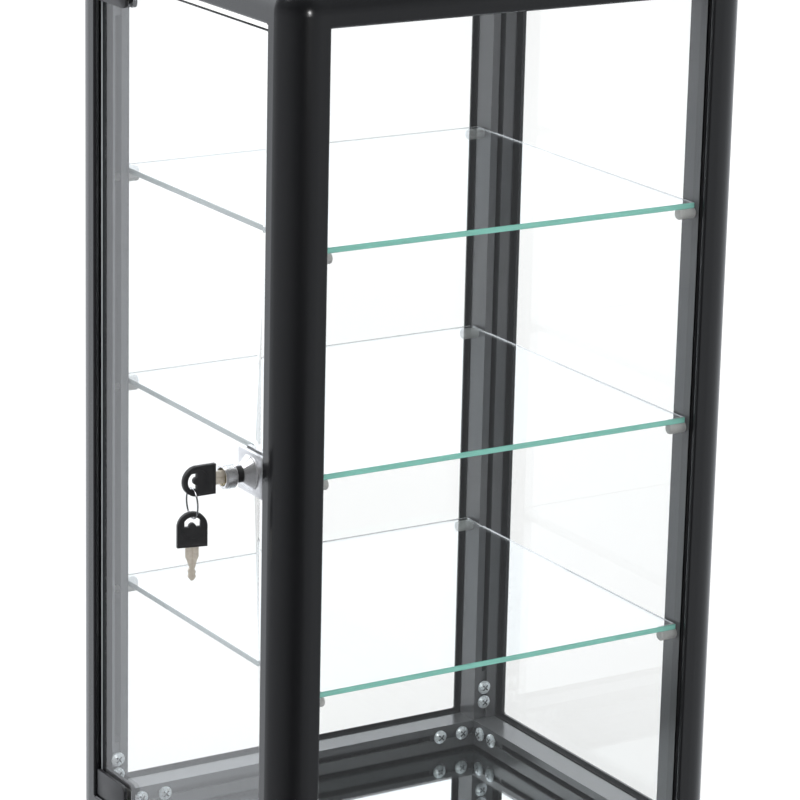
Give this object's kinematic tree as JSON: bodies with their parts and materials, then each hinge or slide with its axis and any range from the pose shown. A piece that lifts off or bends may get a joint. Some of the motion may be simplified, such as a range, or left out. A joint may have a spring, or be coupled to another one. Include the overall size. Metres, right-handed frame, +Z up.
{
  "type": "display case",
  "caption": "Counter display case for shot glasses: black rounded bar frame, glass sides, mirror deck, glass shelves on pegs, hinged glass door with cam lock and keys",
  "frame": {"origin": "on the floor, under the middle of the closed case's envelope with the keys in the lock", "axes": "X to the right from the hinge side to the lock side, Y from the door to the back, Z up"},
  "size_m": [0.305, 0.4144, 0.685],
  "materials": {
    "bar": "satin black anodised aluminium",
    "glass": "clear, polished edges",
    "mirror": "silvered glass",
    "seal": "matt black rubber",
    "screw": "bright zinc plated",
    "peg": "off-white nylon",
    "socket": "black nylon",
    "foot": "matt black rubber",
    "clamp": "satin black",
    "pad": "pale grey, soft",
    "pin": "turned steel",
    "housing": "pale satin",
    "chrome": "polished",
    "collar": "black",
    "plug": "dull, worn",
    "bow": "moulded black",
    "blade": "nickelled, warm",
    "wire": "bright wire"
  },
  "bodies": {
    "frame": {"post_front_left": "bar", "post_front_right": "bar", "post_back_left": "bar", "post_back_right": "bar", "bottom_left_rail": "bar", "bottom_right_rail": "bar", "bottom_front_rail": "bar", "bottom_back_rail": "bar", "top_left_rail": "bar", "top_right_rail": "bar", "top_front_rail": "bar", "top_back_rail": "bar", "bottom_corners": "bar", "top_corners": "bar", "bottom_frame_screws": "screw", "top_frame_screws": "screw", "left_glass": "glass", "right_glass": "glass", "back_glass": "glass", "top_glass": "glass", "mirror_deck": "mirror", "left_seal": "seal", "right_seal": "seal", "back_seal": "seal", "top_seal": "seal", "door_side_strips": "seal", "bottom_shelf": "glass", "middle_shelf": "glass", "top_shelf": "glass", "shelf_pegs": "peg", "feet": "foot", "hinge_sockets": "socket"},
    "door": {"door_glass": "glass", "bottom_hinge_clamp": "clamp", "top_hinge_clamp": "clamp", "clamp_pads": "pad", "clamp_screws": "pin", "hinge_pins": "pin", "lock_housing": "housing", "lock_set_screws": "pin", "lock_rosette": "chrome", "lock_collar": "collar", "lock_barrel": "chrome", "lock_nut": "screw"},
    "plug": {"lock_plug": "plug", "lock_cam": "screw", "cam_screw": "screw"},
    "key": {"key_bow_in_lock": "bow", "key_blade_in_lock": "blade"},
    "ring": {"key_ring": "wire"},
    "spare_key": {"spare_key_bow": "bow", "spare_key_blade": "blade"}
  },
  "joints": [
    {"name": "door_hinge", "type": "hinge", "parent": "frame", "child": "door", "pos_m": [-0.1115, -0.14847, 0.345], "axis": [0, 0, -1], "range_deg": [0, 115]},
    {"name": "lock_turn", "type": "hinge", "parent": "door", "child": "plug", "pos_m": [0.1033, -0.15477, 0.3486], "axis": [0, 1, 0], "range_deg": [0, 90]},
    {"name": "key_slide", "type": "slide", "parent": "plug", "child": "key", "axis": [0, -1, 0], "range_m": [0, 0.017]},
    {"name": "ring_swing", "type": "hinge", "parent": "key", "child": "ring", "pos_m": [0.1033, -0.19672, 0.34382], "axis": [0.9925, -0.1219, 0], "range_deg": [-20, 20]},
    {"name": "spare_key_swing", "type": "hinge", "parent": "ring", "child": "spare_key", "pos_m": [0.1033, -0.19672, 0.32342], "axis": [0.9925, -0.1219, 0], "range_deg": [-20, 20]}
  ]
}
